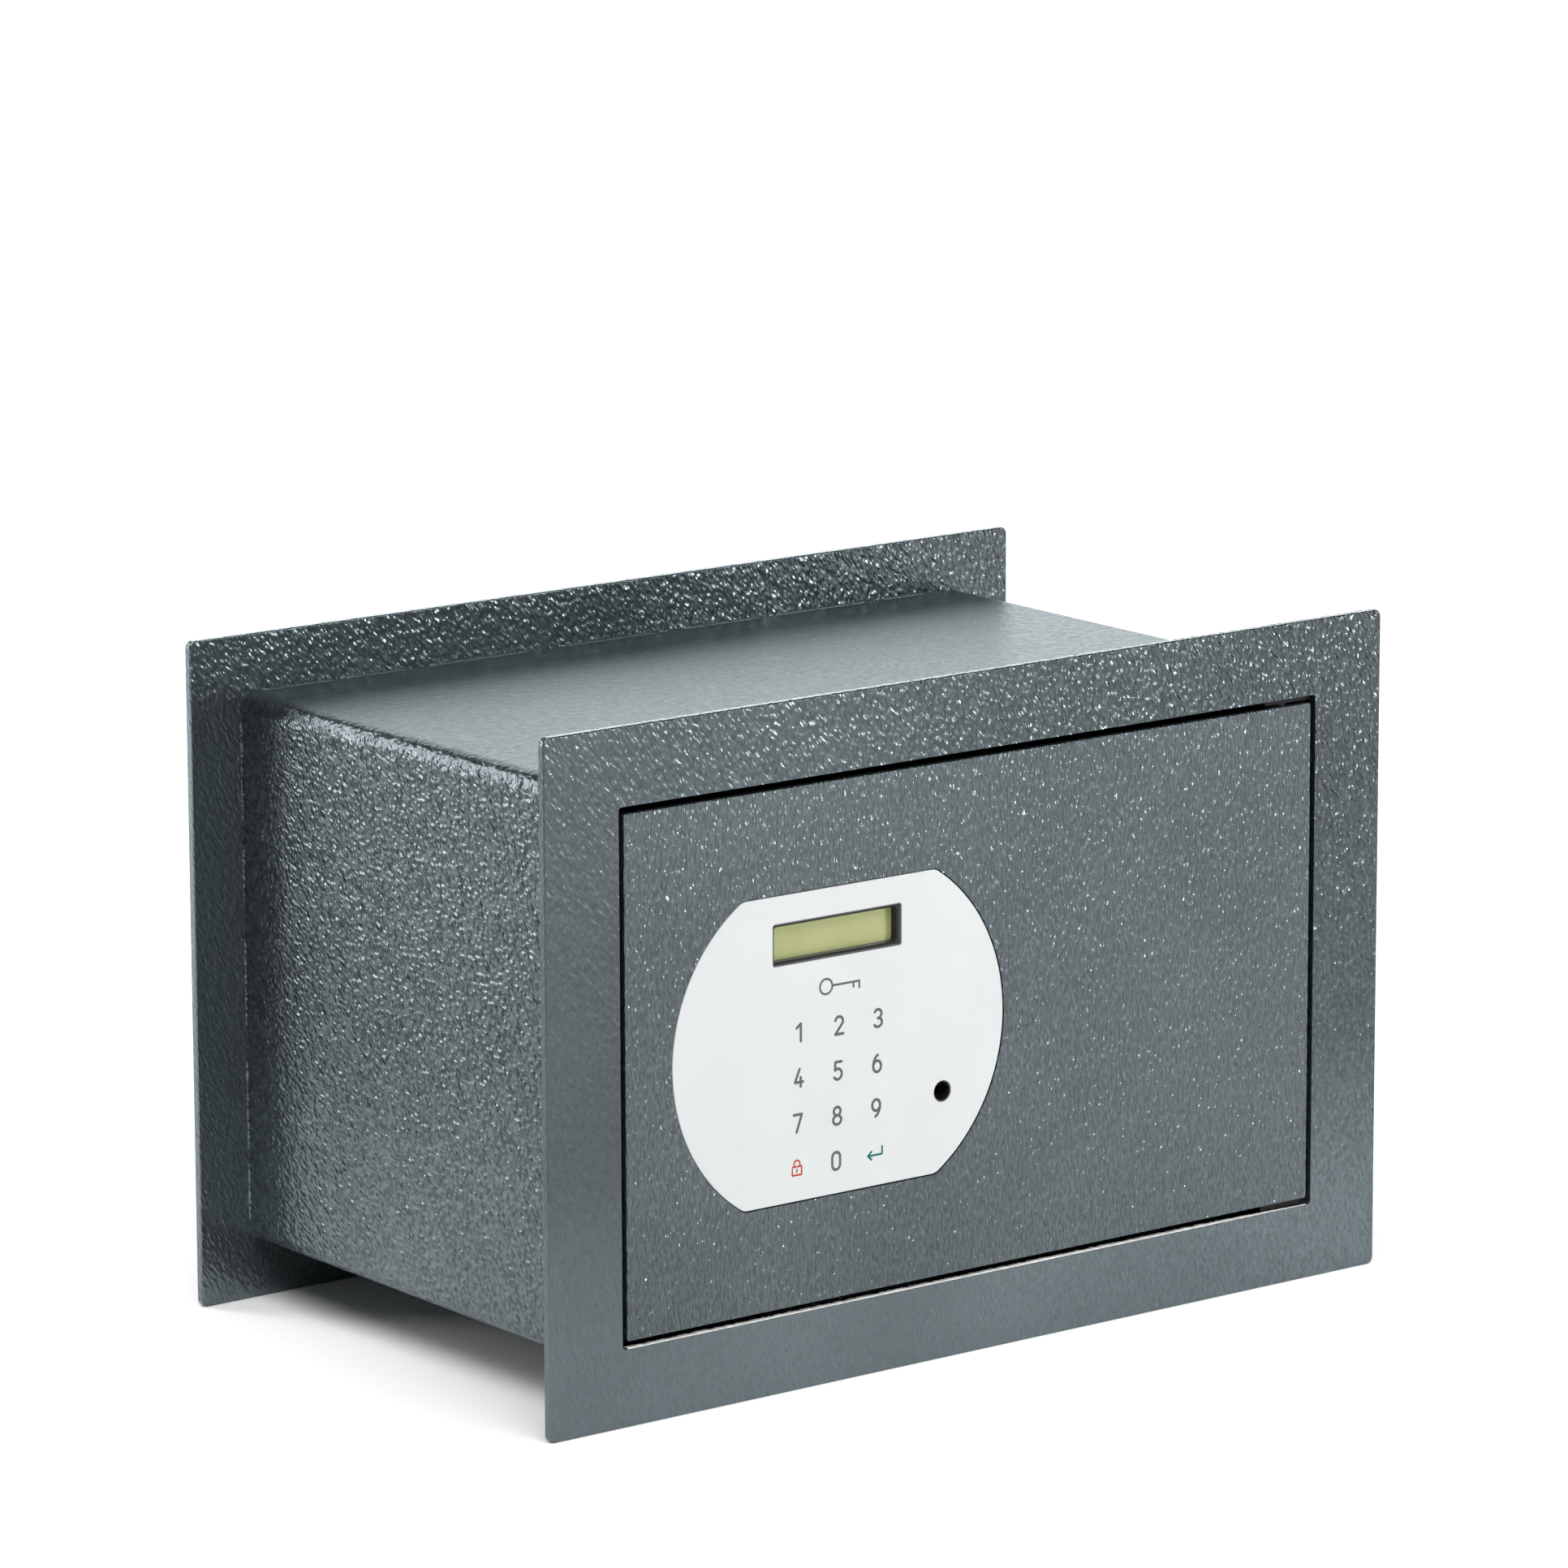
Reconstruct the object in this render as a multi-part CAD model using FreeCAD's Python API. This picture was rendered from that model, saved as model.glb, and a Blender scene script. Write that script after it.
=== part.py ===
import FreeCAD, Part
import math
import os

# Wall safe with a motor-driven keypad lock.
# Millimetres.  +X right, +Y into the wall, +Z up; the front faces -Y.
# Origin: middle of the bounding box, on the bottom edge of the two end plates.

V = FreeCAD.Vector

# ---- cabinet -----------------------------------------------------------
WIDTH = 350.0
HEIGHT = 230.0
DEPTH = 205.0
PLATE = 3.0
PLATE_CORNER = 2.5
EDGE_ROUND = 0.5
MID_Z = HEIGHT / 2
FRONT = -DEPTH / 2
BACK = DEPTH / 2
FRAME_BACK = FRONT + PLATE
REAR_IN = BACK - PLATE

OVERHANG = 20.0
SHEET = 2.0
SHELL_BEND = 6.0
SHELL_X = WIDTH / 2 - OVERHANG
SHELL_LOW = OVERHANG
SHELL_HIGH = HEIGHT - OVERHANG
INNER_X = SHELL_X - SHEET
INNER_LOW = SHELL_LOW + SHEET
INNER_HIGH = SHELL_HIGH - SHEET

OPENING_X = 146.0
OPENING_LOW = MID_Z - 89.0
OPENING_HIGH = MID_Z + 89.0
OPENING_CORNER = 1.2
ANCHOR_X = 100.0
ANCHOR_R = 5.0

MAT = 2.0

# ---- door --------------------------------------------------------------
DOOR_X = 144.0
DOOR_LOW = MID_Z - 86.5
DOOR_HIGH = MID_Z + 86.5

PAN_LEFT = -141.0
PAN_RIGHT = 138.0
PAN_LOW = 31.0
PAN_HIGH = 199.0
PAN_BACK = -74.0
PAN_SHEET = 1.5
PAN_LIP = 12.0
COVER_BACK = PAN_BACK + PAN_SHEET
COVER_SCREW_R = 1.95

# ---- hinge -------------------------------------------------------------
HINGE_X = 134.0
HINGE_Y = -96.5
PIN_R = 2.0
BUSH_IN_R = 2.05
BUSH_OUT_R = 2.9
LEAF = 3.0
LEAF_LOW_Z = 25.0
LEAF_HIGH_Z = 202.0

# ---- bolt work ---------------------------------------------------------
BOLT_R = 7.0
BOLT_Y = -91.0
BOLT_HEIGHTS = (48.0, 182.0)
BOLT_TIP = -142.0
BOLT_TAIL = -104.0
BOLT_THREAD_R = 2.9
TRAVEL = 10.0
CARRIAGE_FRONT = -82.5
CARRIAGE_BACK = -80.5
POST_X = -90.0
POST_R = 3.0
SLOT_R = 3.3

# ---- drive -------------------------------------------------------------
MODULE = 1.0
PINION_TEETH = 14
PRESSURE_ANGLE = math.radians(20.0)
BACKLASH = 0.12
PINION_X = 31.0
PINION_Z = 150.0
PITCH_R = MODULE * PINION_TEETH / 2
RACK_PITCH_Z = PINION_Z + PITCH_R
RACK_ADDENDUM = 0.78
DEDENDUM = 1.25
SHAFT_R = 1.5
MOTOR_Y = -93.2

# ---- keypad ------------------------------------------------------------
PAD_X = -57.4
PAD_R = 60.7
PAD_STRETCH = 7.2
PAD_HALF_HIGH = 51.4
PAD_CORNER = 5.0
PAD_FRONT = FRONT + 0.2
PAD_BACK = FRONT + 1.2
PAD_GAP = 0.35
HOUSING_WALL_BACK = -99.3
HOUSING_BACK = -87.0
KEY_COLUMNS = (-74.4, -58.3, -42.2)
KEY_ROWS = (119.9, 104.8, 89.7, 74.6)
KEY_R = 5.0
KEY_NAMES = (
    ("key_1", "key_2", "key_3"),
    ("key_4", "key_5", "key_6"),
    ("key_7", "key_8", "key_9"),
    ("key_cancel", "key_0", "key_confirm"),
)
LCD_LEFT = -84.9
LCD_RIGHT = -32.0
LCD_LOW = MID_Z + 28.0
LCD_HIGH = MID_Z + 42.2
SOCKET_X = -15.0
SOCKET_Z = MID_Z - 23.9
SOCKET_R = 3.65
SOCKET_BORE_R = 3.15
STUD_X = 30.0
STUD_Z = 54.2

# ---- battery tray ------------------------------------------------------
TRAY_LEFT = 54.0
TRAY_RIGHT = 120.0
TRAY_LOW = 52.0
TRAY_HIGH = 116.0
TRAY_WALL = 1.5
CELL_R = 7.1
CELL_LONG = 49.5
CELL_LEFT = 63.0
CELL_Y = -87.0


def block(x0, x1, y0, y1, z0, z1):
    return Part.makeBox(x1 - x0, y1 - y0, z1 - z0, V(x0, y0, z0))


def rod(x, y, z, axis, radius, length):
    return Part.makeCylinder(radius, length, V(x, y, z), axis)


ALONG_X = V(1, 0, 0)
ALONG_Y = V(0, 1, 0)
ALONG_Z = V(0, 0, 1)


def group(solids):
    return Part.makeCompound(list(solids))


def joined(solids):
    solids = list(solids)
    return solids[0].multiFuse(solids[1:]).removeSplitter()


def edges_along(shape, axis):
    found = []
    for edge in shape.Edges:
        if len(edge.Vertexes) != 2:
            continue
        if edge.Curve.TypeId != "Part::GeomLine":
            continue
        if abs(edge.tangentAt(edge.FirstParameter).dot(axis)) > 0.999:
            found.append(edge)
    return found


def slab(x0, x1, y0, y1, z0, z1, corner):
    """Plate in the XZ plane with its four corners rounded."""
    plate = block(x0, x1, y0, y1, z0, z1)
    return plate.makeFillet(corner, edges_along(plate, ALONG_Y))


def prism(points, y0, y1):
    """Outline of (x, z) points swept from y0 to y1."""
    wire = Part.makePolygon([V(x, y0, z) for x, z in points + points[:1]])
    return Part.Face(wire).extrude(V(0, y1 - y0, 0))


def hexagon(x, y, z, axis, across, thick):
    """Hexagonal head or nut starting at the given point."""
    radius = across / math.sqrt(3)
    points = []
    for step in range(7):
        angle = math.radians(60 * step)
        points.append(V(radius * math.cos(angle), radius * math.sin(angle), 0))
    solid = Part.Face(Part.makePolygon(points)).extrude(V(0, 0, thick))
    solid.Placement = FreeCAD.Placement(V(x, y, z), FreeCAD.Rotation(ALONG_Z, axis))
    return solid


def wire_lead(points, radius):
    """Round insulated wire: straight runs joined by tangent arcs as large as they allow."""
    route = [V(*point) for point in points]
    start = route[0]
    edges = []
    for before, corner, after in zip(route, route[1:], route[2:]):
        back = before - corner
        ahead = after - corner
        reach = 0.45 * min(back.Length, ahead.Length)
        back.normalize()
        ahead.normalize()
        half_turn = (math.pi - back.getAngle(ahead)) / 2
        bend_r = reach / math.tan(half_turn)
        inward = (back + ahead).normalize()
        centre = corner + inward * (bend_r / math.cos(half_turn))
        enter = corner + back * reach
        leave = corner + ahead * reach
        edges.append(Part.LineSegment(start, enter).toShape())
        edges.append(Part.Arc(enter, centre - inward * bend_r, leave).toShape())
        start = leave
    edges.append(Part.LineSegment(start, route[-1]).toShape())
    ring = Part.Wire(Part.makeCircle(radius, route[0], route[1] - route[0]))
    return Part.Wire(edges).makePipeShell([ring], True, True)


def pad_outline(y0, y1, grow):
    """Keypad shape: two round flanks drawn a little apart, cut off flat above and below."""
    half = PAD_HALF_HIGH + grow
    reach = PAD_R + grow + 1
    left, right = PAD_X - PAD_STRETCH, PAD_X + PAD_STRETCH
    middle = block(left, right, y0, y1, MID_Z - half, MID_Z + half)
    flanks = []
    for x, inner, outer in ((left, left, left - reach), (right, right, right + reach)):
        disc = rod(x, y0, MID_Z, ALONG_Y, PAD_R + grow, y1 - y0)
        side = block(min(inner, outer), max(inner, outer), y0, y1, MID_Z - half, MID_Z + half)
        flanks.append(disc.common(side))
    shape = joined([middle, *flanks]).removeSplitter()
    corners = [edge for edge in edges_along(shape, ALONG_Y) if abs(edge.BoundBox.ZMin - MID_Z) > half - 0.1]
    return shape.makeFillet(max(PAD_CORNER + grow, 2.0), corners)


def key_places():
    for row, names in enumerate(KEY_NAMES):
        for column, name in enumerate(names):
            yield name, KEY_COLUMNS[column], KEY_ROWS[row]


# ---- cabinet parts -----------------------------------------------------
def body_shell():
    outer = slab(-SHELL_X, SHELL_X, FRAME_BACK, REAR_IN, SHELL_LOW, SHELL_HIGH, SHELL_BEND)
    bend = SHELL_BEND - SHEET
    inner = slab(-INNER_X, INNER_X, FRAME_BACK, REAR_IN, INNER_LOW, INNER_HIGH, bend)
    return outer.cut(inner)


def end_plate(y0, y1):
    """Plate of the front and the back, its corners and both rims rounded over."""
    plate = slab(-WIDTH / 2, WIDTH / 2, y0, y1, 0, HEIGHT, PLATE_CORNER)
    rims = [edge for edge in plate.Edges if edge.BoundBox.YLength < 0.01]
    return plate.makeFillet(EDGE_ROUND, rims)


def front_frame():
    opening = slab(-OPENING_X, OPENING_X, FRONT, FRAME_BACK, OPENING_LOW, OPENING_HIGH, OPENING_CORNER)
    return end_plate(FRONT, FRAME_BACK).cut(opening)


def rear_plate():
    plate = end_plate(REAR_IN, BACK)
    for x in (-ANCHOR_X, ANCHOR_X):
        plate = plate.cut(rod(x, REAR_IN - 1, MID_Z, ALONG_Y, ANCHOR_R, PLATE + 2))
    return plate


def floor_mat():
    edge = INNER_X - (SHELL_BEND - SHEET) - 0.5
    return block(-edge, edge, -62, REAR_IN - 1.5, INNER_LOW, INNER_LOW + MAT)


def hinge_bracket(leaf_z, leg_low, leg_high):
    """Angle welded to the side wall; its flat leaf carries the hinge pin."""
    leaf = block(HINGE_X - 8, INNER_X - 1, FRAME_BACK, -84, leaf_z, leaf_z + LEAF)
    leg = block(INNER_X - 2, INNER_X, FRAME_BACK, -84, leg_low, leg_high)
    hole = rod(HINGE_X, HINGE_Y, leaf_z - 1, ALONG_Z, PIN_R, LEAF + 2)
    return joined([leaf, leg]).cut(hole)


def hinge_pins():
    low_head = rod(HINGE_X, HINGE_Y, LEAF_LOW_Z - 2, ALONG_Z, 2.9, 2)
    low = rod(HINGE_X, HINGE_Y, LEAF_LOW_Z - 2, ALONG_Z, PIN_R, 17)
    high_top = LEAF_HIGH_Z + LEAF
    high_head = rod(HINGE_X, HINGE_Y, high_top, ALONG_Z, 2.9, 2)
    high = rod(HINGE_X, HINGE_Y, high_top - 15, ALONG_Z, PIN_R, 17)
    return group([joined([low, low_head]), joined([high, high_head])])


# ---- door parts --------------------------------------------------------
def door_plate():
    plate = slab(-DOOR_X, DOOR_X, FRONT, FRAME_BACK, DOOR_LOW, DOOR_HIGH, 1.0)
    edges = [edge for edge in plate.Edges if edge.BoundBox.YMax < FRONT + 0.01]
    plate = plate.makeFillet(0.4, edges)
    return plate.cut(pad_outline(FRONT - 1, FRAME_BACK + 1, PAD_GAP))


def cover_screw_places():
    inset = PAN_SHEET + PAN_LIP / 2
    for z in (PAN_LOW + inset, PAN_HIGH - inset):
        for x in (PAN_LEFT + inset, -50.0, 47.0, PAN_RIGHT - inset):
            yield x, z


def door_pan():
    outer = slab(PAN_LEFT, PAN_RIGHT, FRAME_BACK, PAN_BACK, PAN_LOW, PAN_HIGH, 2.0)
    left, right = PAN_LEFT + PAN_SHEET, PAN_RIGHT - PAN_SHEET
    low, high = PAN_LOW + PAN_SHEET, PAN_HIGH - PAN_SHEET
    pan = outer.cut(block(left, right, FRAME_BACK, PAN_BACK - PAN_SHEET, low, high))
    lip_low, lip_high = low + PAN_LIP, high - PAN_LIP
    mouth = block(left + PAN_LIP, right - PAN_LIP, -80, PAN_BACK, lip_low, lip_high)
    pan = pan.cut(mouth)
    for z in BOLT_HEIGHTS:
        pan = pan.cut(rod(PAN_LEFT - 1, BOLT_Y, z, ALONG_X, BOLT_R + 0.4, PAN_SHEET + 2))
    pan = pan.cut(rod(HINGE_X, HINGE_Y, PAN_LOW - 1, ALONG_Z, BUSH_OUT_R, 200))
    for x, z in cover_screw_places():
        pan = pan.cut(rod(x, PAN_BACK - 3, z, ALONG_Y, COVER_SCREW_R, 4))
    return pan


def inner_cover():
    cover = slab(PAN_LEFT, PAN_RIGHT, PAN_BACK, COVER_BACK, PAN_LOW, PAN_HIGH, 2.0)
    edge = 2.0
    hatch = block(TRAY_LEFT + edge, TRAY_RIGHT - edge, PAN_BACK - 1, COVER_BACK + 1,
                  TRAY_LOW + edge, TRAY_HIGH - edge)
    cover = cover.cut(hatch)
    for x, z in cover_screw_places():
        cover = cover.cut(rod(x, PAN_BACK - 1, z, ALONG_Y, 2.3, 4))
    return cover


def cover_screws():
    screws = []
    for x, z in cover_screw_places():
        head = rod(x, COVER_BACK, z, ALONG_Y, 3.6, 2.0)
        rim = [edge for edge in head.Edges if edge.BoundBox.YMin > COVER_BACK + 1.9]
        head = head.makeFillet(1.2, rim)
        shank = rod(x, PAN_BACK - 5, z, ALONG_Y, COVER_SCREW_R, 6.5)
        cross = block(x - 1.7, x + 1.7, COVER_BACK + 1, COVER_BACK + 3, z - 0.4, z + 0.4)
        cross = cross.fuse(block(x - 0.4, x + 0.4, COVER_BACK + 1, COVER_BACK + 3,
                                 z - 1.7, z + 1.7))
        screws.append(joined([head, shank]).cut(cross))
    return group(screws)


def hinge_blocks():
    blocks = []
    for z0, z1 in ((32.5, 41.0), (189.0, 197.5)):
        piece = block(128, PAN_RIGHT - PAN_SHEET, FRAME_BACK, -91, z0, z1)
        blocks.append(piece.cut(rod(HINGE_X, HINGE_Y, z0 - 1, ALONG_Z, BUSH_OUT_R, 12)))
    return group(blocks)


def hinge_bushes():
    bushes = []
    for z0, z1 in ((28.1, 39.0), (191.0, 201.9)):
        outer = rod(HINGE_X, HINGE_Y, z0, ALONG_Z, BUSH_OUT_R, z1 - z0)
        bore = rod(HINGE_X, HINGE_Y, z0 - 1, ALONG_Z, BUSH_IN_R, z1 - z0 + 2)
        bushes.append(outer.cut(bore))
    return group(bushes)


# ---- bolt work ---------------------------------------------------------
def locking_bolt(z):
    shank = rod(BOLT_TIP, BOLT_Y, z, ALONG_X, BOLT_R, BOLT_TAIL - BOLT_TIP)
    tip = [edge for edge in shank.Edges if edge.BoundBox.XMax < BOLT_TIP + 0.01]
    shank = shank.makeChamfer(1.5, tip)
    return shank.cut(rod(BOLT_TAIL - 14, BOLT_Y, z, ALONG_X, BOLT_THREAD_R, 15))


def bolt_screws():
    screws = []
    for z in BOLT_HEIGHTS:
        shank = rod(BOLT_TAIL - 12, BOLT_Y, z, ALONG_X, BOLT_THREAD_R, 15)
        head = hexagon(BOLT_TAIL + SHEET, BOLT_Y, z, ALONG_X, 10.0, 4.0)
        screws.append(joined([shank, head]))
    return group(screws)


def bolt_guides():
    guides = []
    left = PAN_LEFT + PAN_SHEET
    for z in BOLT_HEIGHTS:
        piece = block(left, left + 12, FRAME_BACK, -82, z - 11, z + 11)
        guides.append(piece.cut(rod(left - 1, BOLT_Y, z, ALONG_X, BOLT_R + 0.08, 14)))
    return group(guides)


def bolt_carriage():
    low_bolt, high_bolt = BOLT_HEIGHTS
    outline = [
        (BOLT_TAIL, low_bolt - 10),
        (-70, low_bolt - 10),
        (-70, low_bolt + 10),
        (-84, low_bolt + 24),
        (-84, 148),
        (-72, 159),
        (56, 159),
        (56, 175),
        (-62, 175),
        (-68, high_bolt + 9),
        (BOLT_TAIL, high_bolt + 9),
    ]
    carriage = prism(outline, CARRIAGE_FRONT, CARRIAGE_BACK)
    for z in BOLT_HEIGHTS:
        ear = block(BOLT_TAIL, BOLT_TAIL + SHEET, -98, CARRIAGE_FRONT, z - 7, z + 7)
        carriage = carriage.fuse(ear)
        carriage = carriage.cut(rod(BOLT_TAIL - 1, BOLT_Y, z, ALONG_X, 3.2, 4))
        slot = block(POST_X, POST_X + TRAVEL, -84, -79, z - SLOT_R, z + SLOT_R)
        for x in (POST_X, POST_X + TRAVEL):
            slot = slot.fuse(rod(x, -84, z, ALONG_Y, SLOT_R, 5))
        carriage = carriage.cut(slot)
    for x in RIVET_X:
        carriage = carriage.cut(rod(x, -84, RIVET_Z, ALONG_Y, 1.2, 5))
    return carriage.removeSplitter()


def guide_posts():
    posts = []
    for z in BOLT_HEIGHTS:
        foot = rod(POST_X, FRAME_BACK, z, ALONG_Y, 5.0, 16.7)
        neck = rod(POST_X, FRAME_BACK, z, ALONG_Y, POST_R, 21.0)
        groove = rod(POST_X, -80.2, z, ALONG_Y, 6.0, 0.8)
        groove = groove.cut(rod(POST_X, -80.2, z, ALONG_Y, 2.3, 0.8))
        posts.append(joined([foot, neck]).cut(groove))
    return group(posts)


def post_clips():
    clips = []
    for z in BOLT_HEIGHTS:
        ring = rod(POST_X, -80.2, z, ALONG_Y, 5.2, 0.8)
        ring = ring.cut(rod(POST_X, -80.2, z, ALONG_Y, 2.3, 0.8))
        mouth = block(POST_X - 1.9, POST_X + 1.9, -81, -79, z - 7, z)
        clips.append(ring.cut(mouth))
    return group(clips)


# ---- drive -------------------------------------------------------------
RIVET_X = (24.0, 48.0)
RIVET_Z = 161.6


def involute(angle):
    return math.tan(angle) - angle


def pinion_outline():
    """Tooth flanks from the involute of the base circle; one tooth points up."""
    base_r = PITCH_R * math.cos(PRESSURE_ANGLE)
    root_r = PITCH_R - DEDENDUM * MODULE
    tip_r = PITCH_R + 0.95 * MODULE
    half_pitch_angle = (math.pi * MODULE / 2 - BACKLASH) / (2 * PITCH_R)
    steps = 6
    flank = []
    for step in range(steps + 1):
        radius = base_r + (tip_r - base_r) * step / steps
        turn = involute(math.acos(base_r / radius)) - involute(PRESSURE_ANGLE)
        flank.append((radius, half_pitch_angle - turn))
    points = []
    for tooth in range(PINION_TEETH):
        middle = math.pi / 2 + tooth * 2 * math.pi / PINION_TEETH
        right = [(root_r, flank[0][1] + 0.02)] + flank
        for radius, half in right:
            points.append((radius, middle - half))
        for radius, half in reversed(right):
            points.append((radius, middle + half))
    places = []
    for radius, angle in points:
        places.append((PINION_X + radius * math.cos(angle), PINION_Z + radius * math.sin(angle)))
    return places


def drive_pinion():
    gear = prism(pinion_outline(), -87.0, -83.2)
    hub = rod(PINION_X, -88.0, PINION_Z, ALONG_Y, 4.0, 1.5)
    bore = rod(PINION_X, -89, PINION_Z, ALONG_Y, SHAFT_R, 8)
    return joined([gear, hub]).cut(bore)


def output_shaft():
    return rod(PINION_X, -96.0, PINION_Z, ALONG_Y, SHAFT_R, 13.2)


def carriage_rack():
    """Straight-sided rack, teeth down, a gap centred over the pinion tooth."""
    left, right = 18.0, 54.0
    pitch = math.pi * MODULE
    slope = math.tan(PRESSURE_ANGLE)
    tip_z = RACK_PITCH_Z - RACK_ADDENDUM * MODULE
    root_z = RACK_PITCH_Z + DEDENDUM * MODULE
    half_tooth = (pitch / 2 - BACKLASH) / 2
    tip_half = half_tooth - RACK_ADDENDUM * MODULE * slope
    root_half = half_tooth + DEDENDUM * MODULE * slope
    points = [(left, 164.8), (left, root_z)]
    first = math.ceil((left + root_half - PINION_X) / pitch - 0.5)
    last = math.floor((right - root_half - PINION_X) / pitch - 0.5)
    for number in range(first, last + 1):
        middle = PINION_X + (number + 0.5) * pitch
        points.append((middle - root_half, root_z))
        points.append((middle - tip_half, tip_z))
        points.append((middle + tip_half, tip_z))
        points.append((middle + root_half, root_z))
    points += [(right, root_z), (right, 164.8)]
    rack = prism(points, -86.5, CARRIAGE_FRONT)
    for x in RIVET_X:
        rack = rack.cut(rod(x, -88, RIVET_Z, ALONG_Y, 1.2, 8))
    return rack


def rack_rivets():
    rivets = []
    for x in RIVET_X:
        shank = rod(x, -86.5, RIVET_Z, ALONG_Y, 1.2, 6.0)
        head = rod(x, CARRIAGE_BACK, RIVET_Z, ALONG_Y, 2.2, 1.0)
        rivets.append(joined([shank, head]))
    return group(rivets)


MOTOR_SCREWS = ((22.5, 142.5), (39.5, 167.5))


def motor_bracket():
    plate = slab(14, 48, FRAME_BACK, -98, 134, 176, 3.0)
    for x, z in MOTOR_SCREWS:
        plate = plate.cut(rod(x, -100, z, ALONG_Y, 1.2, 4))
    return plate


def gearbox_housing():
    case = slab(18, 44, -98, -88.5, 138, 172, 3.0)
    seam = block(17, 45, -93.4, -93.1, 137, 173)
    seam = seam.cut(slab(18.3, 43.7, -94, -93, 138.3, 171.7, 2.7))
    boss = rod(PINION_X, -88.5, PINION_Z, ALONG_Y, 3.4, 0.4)
    case = joined([case.cut(seam), boss])
    case = case.cut(rod(PINION_X, -96.5, PINION_Z, ALONG_Y, SHAFT_R + 0.05, 9))
    for x, z in MOTOR_SCREWS:
        case = case.cut(rod(x, -99, z, ALONG_Y, 1.2, 12))
    return case


def motor_screws():
    screws = []
    for x, z in MOTOR_SCREWS:
        shank = rod(x, -99.5, z, ALONG_Y, 1.2, 12)
        head = rod(x, -88.5, z, ALONG_Y, 2.3, 1.6)
        slot = block(x - 3, x + 3, -87.4, -86, z - 0.3, z + 0.3)
        screws.append(joined([shank, head]).cut(slot))
    return group(screws)


def motor_can():
    can = rod(PINION_X, MOTOR_Y, 115, ALONG_Z, 6.0, 23)
    flats = block(PINION_X - 7, PINION_X + 7, MOTOR_Y - 4.7, MOTOR_Y + 4.7, 114, 139)
    return can.common(flats)


def motor_end_cap():
    cap = rod(PINION_X, MOTOR_Y, 112, ALONG_Z, 5.6, 3)
    flats = block(PINION_X - 7, PINION_X + 7, MOTOR_Y - 4.4, MOTOR_Y + 4.4, 111, 116)
    tabs = [block(PINION_X + side, PINION_X + side + 0.6, MOTOR_Y - 1.2, MOTOR_Y + 1.2, 108.5, 112)
            for side in (-4.0, 3.4)]
    return joined([cap.common(flats)] + tabs)


# ---- keypad parts ------------------------------------------------------
def lcd_window(y0, y1, grow):
    return slab(LCD_LEFT - grow, LCD_RIGHT + grow, y0, y1, LCD_LOW - grow, LCD_HIGH + grow,
                1.0 + max(grow, 0))


def keypad_plate():
    plate = pad_outline(PAD_FRONT, PAD_BACK, 0)
    rim = [edge for edge in plate.Edges if edge.BoundBox.YMax < PAD_FRONT + 0.01]
    plate = plate.makeFillet(0.3, rim)
    plate = plate.cut(lcd_window(-104, -100, 0))
    return plate.cut(rod(SOCKET_X, -104, SOCKET_Z, ALONG_Y, SOCKET_R, 5))


def stud_places():
    for x in (PAD_X - STUD_X, PAD_X + STUD_X):
        for z in (MID_Z - STUD_Z, MID_Z + STUD_Z):
            yield x, z


HEADER_RIGHT = -25.0
BOARD_SCREWS = ((-112.0, 98.0), (-112.0, 132.0), (-29.0, 98.0), (-29.0, 132.0))


def keypad_housing():
    case = pad_outline(PAD_BACK, HOUSING_BACK, -0.3)
    case = case.fuse(pad_outline(FRAME_BACK, -97.5, 6.0))
    case = case.cut(pad_outline(HOUSING_WALL_BACK, HOUSING_BACK + 1, -2.5))
    case = case.cut(lcd_window(-102, -99, 0))
    case = case.cut(rod(SOCKET_X, -102, SOCKET_Z, ALONG_Y, SOCKET_R, 4))
    for name, x, z in key_places():
        case = case.cut(rod(x, -102, z, ALONG_Y, KEY_R + 0.35, 4))
    for x, z in stud_places():
        case = case.cut(rod(x, -100, z, ALONG_Y, 1.8, 4))
    for x, z in BOARD_SCREWS:
        pillar = rod(x, HOUSING_WALL_BACK, z, ALONG_Y, 3.0, 5.8)
        case = case.fuse(pillar).cut(rod(x, -98.5, z, ALONG_Y, 1.2, 6))
    exit_hole = block(0, 20, -92.6, -87.3, MID_Z - 10, MID_Z + 8)
    return case.cut(exit_hole).removeSplitter()


def housing_back():
    return pad_outline(HOUSING_BACK, -85.5, -0.3)


def keypad_studs():
    return group(rod(x, FRAME_BACK, z, ALONG_Y, 1.5, 6.5) for x, z in stud_places())


def stud_nuts():
    nuts = []
    for x, z in stud_places():
        nut = hexagon(x, -97.5, z, ALONG_Y, 5.5, 2.4)
        nuts.append(nut.cut(rod(x, -98, z, ALONG_Y, 1.5, 4)))
    return group(nuts)


def lcd_bezel():
    frame = lcd_window(PAD_FRONT, -98.4, 0)
    flange = lcd_window(HOUSING_WALL_BACK, -98.4, 1.6)
    frame = frame.fuse(flange)
    frame = frame.cut(lcd_window(-103, -98, -1.3))
    mouth = Part.makeLoft([
        bezel_wire(PAD_FRONT - 0.2, -0.1),
        bezel_wire(PAD_FRONT + 1.0, -1.3),
    ], True)
    return frame.cut(mouth).removeSplitter()


def bezel_wire(y, grow):
    x0, x1 = LCD_LEFT - grow, LCD_RIGHT + grow
    z0, z1 = LCD_LOW - grow, LCD_HIGH + grow
    return Part.makePolygon([V(x0, y, z0), V(x1, y, z0), V(x1, y, z1), V(x0, y, z1), V(x0, y, z0)])


def lcd_module():
    glass = block(LCD_LEFT - 1.4, LCD_RIGHT + 1.4, -98.4, -96.8, LCD_LOW - 1.4, LCD_HIGH + 1.4)
    back = block(LCD_LEFT - 1.4, LCD_RIGHT + 1.4, -96.8, -93.5, LCD_LOW - 0.6, LCD_HIGH + 0.6)
    return joined([glass, back])


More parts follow.
